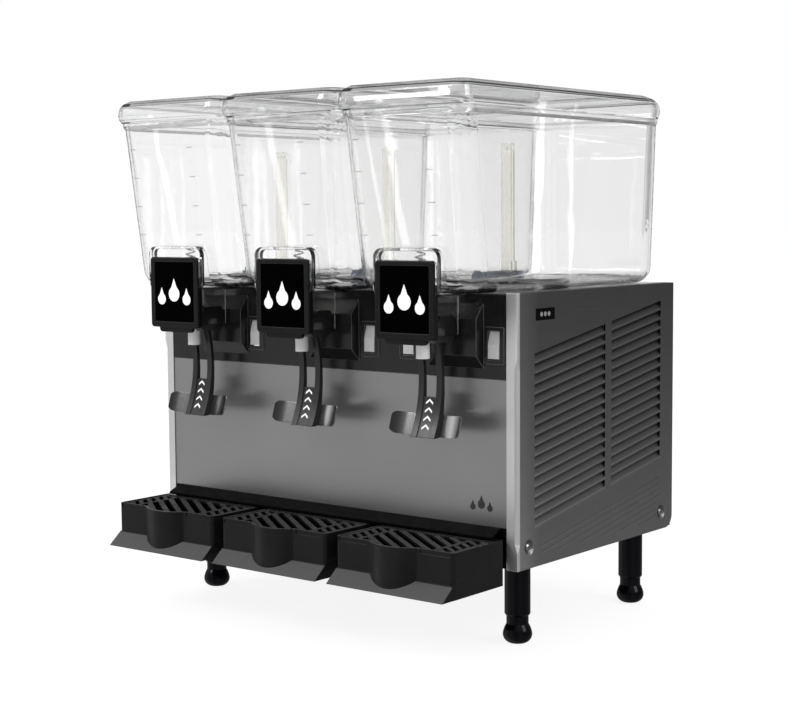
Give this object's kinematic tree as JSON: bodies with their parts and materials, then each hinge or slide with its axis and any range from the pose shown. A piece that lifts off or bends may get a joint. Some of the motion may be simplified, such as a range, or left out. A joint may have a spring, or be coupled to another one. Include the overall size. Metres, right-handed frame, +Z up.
{
  "type": "refrigerated beverage dispenser",
  "caption": "Countertop refrigerated drink dispenser with clear lift-off bowls, spray tubes, push-lever valves, rocker switches, louvred steel cabinet, drip trays and screw-in legs.",
  "frame": {"origin": "centre of the footprint, on the surface that the feet stand on", "axes": "+Z up, -Y towards the person who draws a drink, +X to that person's right"},
  "size_m": [0.54, 0.446, 0.612],
  "materials": {
    "side_grey": "satin",
    "brushed_front": "brushed",
    "push_steel": "polished",
    "fascia_black": "fine texture",
    "cover_black": "fine texture",
    "lever_black": "satin",
    "tray_black": "satin",
    "grid_black": "satin",
    "rocker_white": "satin",
    "bowl_clear": "clear polished plastic",
    "lid_clear": "clear polished plastic",
    "tube_clear": "translucent",
    "piston_white": "satin",
    "spring_steel": "drawn",
    "impeller_white": "satin",
    "magnet_grey": "satin",
    "plate_steel": "drawn",
    "gasket_black": "matt",
    "deck_steel": "satin",
    "base_steel": "satin",
    "rear_grey": "satin",
    "leg_black": "gloss",
    "screw_steel": "plated",
    "compressor_black": "gloss",
    "condenser_alloy": "mill",
    "fan_grey": "satin",
    "blade_alloy": "mill",
    "motor_steel": "satin"
  },
  "bodies": {
    "cabinet": {"base_pan": "base_steel", "side_panel_left": "side_grey", "side_panel_right": "side_grey", "front_panel": "brushed_front", "control_fascia": "fascia_black", "rear_panel": "rear_grey", "top_deck": "deck_steel", "leg_sleeves": "leg_black", "panel_screws": "screw_steel", "compressor": "compressor_black", "condenser": "condenser_alloy", "fan_motor": "fan_grey", "pump_motors": "motor_steel", "cold_plates": "plate_steel", "bowl_gaskets": "gasket_black"},
    "fan": {"fan_blade": "blade_alloy"},
    "foot_front_left": {"foot_front_left": "leg_black"},
    "foot_front_right": {"foot_front_right": "leg_black"},
    "foot_rear_left": {"foot_rear_left": "leg_black"},
    "foot_rear_right": {"foot_rear_right": "leg_black"},
    "rocker_left": {"rocker_left": "rocker_white"},
    "rocker_centre": {"rocker_centre": "rocker_white"},
    "rocker_right": {"rocker_right": "rocker_white"},
    "rocker_main": {"rocker_main": "rocker_white"},
    "bowl_left": {"bowl_left": "bowl_clear", "valve_cover_left": "cover_black", "valve_spring_left": "spring_steel"},
    "lid_left": {"lid_left": "lid_clear"},
    "lever_left": {"lever_left": "lever_black", "push_pad_left": "push_steel"},
    "piston_left": {"valve_piston_left": "piston_white"},
    "spray_tube_left": {"spray_tube_left": "tube_clear"},
    "impeller_left": {"impeller_left": "impeller_white"},
    "drive_magnet_left": {"drive_magnet_left": "magnet_grey"},
    "drip_tray_left": {"drip_tray_left": "tray_black"},
    "drip_grid_left": {"drip_grid_left": "grid_black"},
    "bowl_centre": {"bowl_centre": "bowl_clear", "valve_cover_centre": "cover_black", "valve_spring_centre": "spring_steel"},
    "lid_centre": {"lid_centre": "lid_clear"},
    "lever_centre": {"lever_centre": "lever_black", "push_pad_centre": "push_steel"},
    "piston_centre": {"valve_piston_centre": "piston_white"},
    "spray_tube_centre": {"spray_tube_centre": "tube_clear"},
    "impeller_centre": {"impeller_centre": "impeller_white"},
    "drive_magnet_centre": {"drive_magnet_centre": "magnet_grey"},
    "drip_tray_centre": {"drip_tray_centre": "tray_black"},
    "drip_grid_centre": {"drip_grid_centre": "grid_black"},
    "bowl_right": {"bowl_right": "bowl_clear", "valve_cover_right": "cover_black", "valve_spring_right": "spring_steel"},
    "lid_right": {"lid_right": "lid_clear"},
    "lever_right": {"lever_right": "lever_black", "push_pad_right": "push_steel"},
    "piston_right": {"valve_piston_right": "piston_white"},
    "spray_tube_right": {"spray_tube_right": "tube_clear"},
    "impeller_right": {"impeller_right": "impeller_white"},
    "drive_magnet_right": {"drive_magnet_right": "magnet_grey"},
    "drip_tray_right": {"drip_tray_right": "tray_black"},
    "drip_grid_right": {"drip_grid_right": "grid_black"}
  },
  "joints": [
    {"name": "fan_spin", "type": "hinge", "parent": "cabinet", "child": "fan", "pos_m": [0.142, 0.055, 0.206], "axis": [1, 0, 0], "continuous": true},
    {"name": "foot_front_left_turn", "type": "hinge", "parent": "cabinet", "child": "foot_front_left", "pos_m": [-0.235, -0.06, 0.06], "axis": [0, 0, 1], "continuous": true},
    {"name": "foot_front_right_turn", "type": "hinge", "parent": "cabinet", "child": "foot_front_right", "pos_m": [0.235, -0.06, 0.06], "axis": [0, 0, 1], "continuous": true},
    {"name": "foot_rear_left_turn", "type": "hinge", "parent": "cabinet", "child": "foot_rear_left", "pos_m": [-0.235, 0.182, 0.06], "axis": [0, 0, 1], "continuous": true},
    {"name": "foot_rear_right_turn", "type": "hinge", "parent": "cabinet", "child": "foot_rear_right", "pos_m": [0.235, 0.182, 0.06], "axis": [0, 0, 1], "continuous": true},
    {"name": "rocker_left_press", "type": "hinge", "parent": "cabinet", "child": "rocker_left", "pos_m": [-0.112, -0.105, 0.3335], "axis": [1, 0, 0], "range_deg": [0, 16]},
    {"name": "rocker_centre_press", "type": "hinge", "parent": "cabinet", "child": "rocker_centre", "pos_m": [0.067, -0.105, 0.3335], "axis": [1, 0, 0], "range_deg": [0, 16]},
    {"name": "rocker_right_press", "type": "hinge", "parent": "cabinet", "child": "rocker_right", "pos_m": [0.2395, -0.105, 0.3335], "axis": [1, 0, 0], "range_deg": [0, 16]},
    {"name": "rocker_main_press", "type": "hinge", "parent": "cabinet", "child": "rocker_main", "pos_m": [0.1235, -0.105, 0.3335], "axis": [1, 0, 0], "range_deg": [0, 16]},
    {"name": "bowl_left_lift", "type": "slide", "parent": "cabinet", "child": "bowl_left", "axis": [0, 0, 1], "range_m": [0, 0.12]},
    {"name": "lid_left_lift", "type": "slide", "parent": "bowl_left", "child": "lid_left", "axis": [0, 0, 1], "range_m": [0, 0.1]},
    {"name": "lever_left_push", "type": "hinge", "parent": "bowl_left", "child": "lever_left", "pos_m": [-0.175, -0.168, 0.35], "axis": [1, 0, 0], "range_deg": [0, 9], "stiffness_Nm_per_rad": 0.6, "springref_deg": -5.73},
    {"name": "piston_left_rise", "type": "slide", "parent": "bowl_left", "child": "piston_left", "axis": [0, 0, 1], "range_m": [0, 0.0027], "deforming": ["valve_spring_left"]},
    {"name": "spray_tube_left_lift", "type": "slide", "parent": "cabinet", "child": "spray_tube_left", "axis": [0, 0, 1], "range_m": [0, 0.025]},
    {"name": "drive_magnet_left_spin", "type": "hinge", "parent": "cabinet", "child": "drive_magnet_left", "pos_m": [-0.175, 0.006, 0.385], "axis": [0, 0, 1], "continuous": true},
    {"name": "impeller_left_spin", "type": "hinge", "parent": "cabinet", "child": "impeller_left", "pos_m": [-0.175, 0.006, 0.404], "axis": [0, 0, 1], "continuous": true},
    {"name": "drip_tray_left_pull", "type": "slide", "parent": "cabinet", "child": "drip_tray_left", "axis": [0, -1, 0], "range_m": [0, 0.1]},
    {"name": "drip_grid_left_lift", "type": "slide", "parent": "drip_tray_left", "child": "drip_grid_left", "axis": [0, 0, 1], "range_m": [0, 0.05]},
    {"name": "bowl_centre_lift", "type": "slide", "parent": "cabinet", "child": "bowl_centre", "axis": [0, 0, 1], "range_m": [0, 0.12]},
    {"name": "lid_centre_lift", "type": "slide", "parent": "bowl_centre", "child": "lid_centre", "axis": [0, 0, 1], "range_m": [0, 0.1]},
    {"name": "lever_centre_push", "type": "hinge", "parent": "bowl_centre", "child": "lever_centre", "pos_m": [0, -0.168, 0.35], "axis": [1, 0, 0], "range_deg": [0, 9], "stiffness_Nm_per_rad": 0.6, "springref_deg": -5.73},
    {"name": "piston_centre_rise", "type": "slide", "parent": "bowl_centre", "child": "piston_centre", "axis": [0, 0, 1], "range_m": [0, 0.0027], "deforming": ["valve_spring_centre"]},
    {"name": "spray_tube_centre_lift", "type": "slide", "parent": "cabinet", "child": "spray_tube_centre", "axis": [0, 0, 1], "range_m": [0, 0.025]},
    {"name": "drive_magnet_centre_spin", "type": "hinge", "parent": "cabinet", "child": "drive_magnet_centre", "pos_m": [0, 0.006, 0.385], "axis": [0, 0, 1], "continuous": true},
    {"name": "impeller_centre_spin", "type": "hinge", "parent": "cabinet", "child": "impeller_centre", "pos_m": [0, 0.006, 0.404], "axis": [0, 0, 1], "continuous": true},
    {"name": "drip_tray_centre_pull", "type": "slide", "parent": "cabinet", "child": "drip_tray_centre", "axis": [0, -1, 0], "range_m": [0, 0.1]},
    {"name": "drip_grid_centre_lift", "type": "slide", "parent": "drip_tray_centre", "child": "drip_grid_centre", "axis": [0, 0, 1], "range_m": [0, 0.05]},
    {"name": "bowl_right_lift", "type": "slide", "parent": "cabinet", "child": "bowl_right", "axis": [0, 0, 1], "range_m": [0, 0.12]},
    {"name": "lid_right_lift", "type": "slide", "parent": "bowl_right", "child": "lid_right", "axis": [0, 0, 1], "range_m": [0, 0.1]},
    {"name": "lever_right_push", "type": "hinge", "parent": "bowl_right", "child": "lever_right", "pos_m": [0.175, -0.168, 0.35], "axis": [1, 0, 0], "range_deg": [0, 9], "stiffness_Nm_per_rad": 0.6, "springref_deg": -5.73},
    {"name": "piston_right_rise", "type": "slide", "parent": "bowl_right", "child": "piston_right", "axis": [0, 0, 1], "range_m": [0, 0.0027], "deforming": ["valve_spring_right"]},
    {"name": "spray_tube_right_lift", "type": "slide", "parent": "cabinet", "child": "spray_tube_right", "axis": [0, 0, 1], "range_m": [0, 0.025]},
    {"name": "drive_magnet_right_spin", "type": "hinge", "parent": "cabinet", "child": "drive_magnet_right", "pos_m": [0.175, 0.006, 0.385], "axis": [0, 0, 1], "continuous": true},
    {"name": "impeller_right_spin", "type": "hinge", "parent": "cabinet", "child": "impeller_right", "pos_m": [0.175, 0.006, 0.404], "axis": [0, 0, 1], "continuous": true},
    {"name": "drip_tray_right_pull", "type": "slide", "parent": "cabinet", "child": "drip_tray_right", "axis": [0, -1, 0], "range_m": [0, 0.1]},
    {"name": "drip_grid_right_lift", "type": "slide", "parent": "drip_tray_right", "child": "drip_grid_right", "axis": [0, 0, 1], "range_m": [0, 0.05]}
  ],
  "couplings": [
    {"joint": "piston_left_rise", "follows": "lever_left_push", "m_per_rad": 0.0169},
    {"joint": "impeller_left_spin", "follows": "drive_magnet_left_spin", "ratio": 1},
    {"joint": "piston_centre_rise", "follows": "lever_centre_push", "m_per_rad": 0.0169},
    {"joint": "impeller_centre_spin", "follows": "drive_magnet_centre_spin", "ratio": 1},
    {"joint": "piston_right_rise", "follows": "lever_right_push", "m_per_rad": 0.0169},
    {"joint": "impeller_right_spin", "follows": "drive_magnet_right_spin", "ratio": 1}
  ]
}
